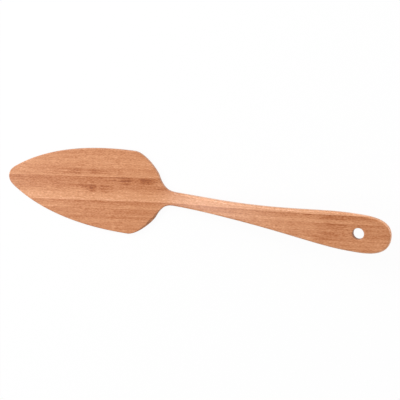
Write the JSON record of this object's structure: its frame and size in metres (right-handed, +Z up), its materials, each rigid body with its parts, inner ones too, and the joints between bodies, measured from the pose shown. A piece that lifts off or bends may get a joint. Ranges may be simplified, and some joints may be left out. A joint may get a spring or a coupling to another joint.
{
  "type": "kitchen spatula",
  "caption": "Leaf-shaped kitchen spatula of edge-glued bamboo strips, with a slim neck and a raised, flared handle with a hang hole, for lifting and serving slices.",
  "frame": {"origin": "on the plane of the blade's underside, below the middle of the tool's box", "axes": "+X from the blade's tip to the handle's end, +Y across the tool, +Z up from the blade's upper face"},
  "size_m": [0.2962, 0.0632, 0.0345],
  "materials": {
    "bamboo_tan": "oiled, satin, fine-sanded",
    "bamboo_deep": "oiled, satin, fine-sanded",
    "bamboo_pale": "oiled, satin, fine-sanded"
  },
  "bodies": {
    "root": {"upper_blade_strip_7": "bamboo_tan", "upper_blade_strip_6": "bamboo_tan", "upper_blade_strip_5": "bamboo_tan", "upper_blade_strip_4": "bamboo_tan", "upper_blade_strip_3": "bamboo_deep", "upper_blade_strip_2": "bamboo_tan", "upper_long_strip_1": "bamboo_pale", "lower_long_strip_1": "bamboo_tan", "lower_blade_strip_2": "bamboo_tan", "lower_handle_strip_2": "bamboo_tan", "lower_blade_strip_3": "bamboo_deep", "lower_handle_strip_3": "bamboo_deep", "lower_blade_strip_4": "bamboo_tan", "lower_handle_strip_4": "bamboo_tan"}
  },
  "joints": []
}
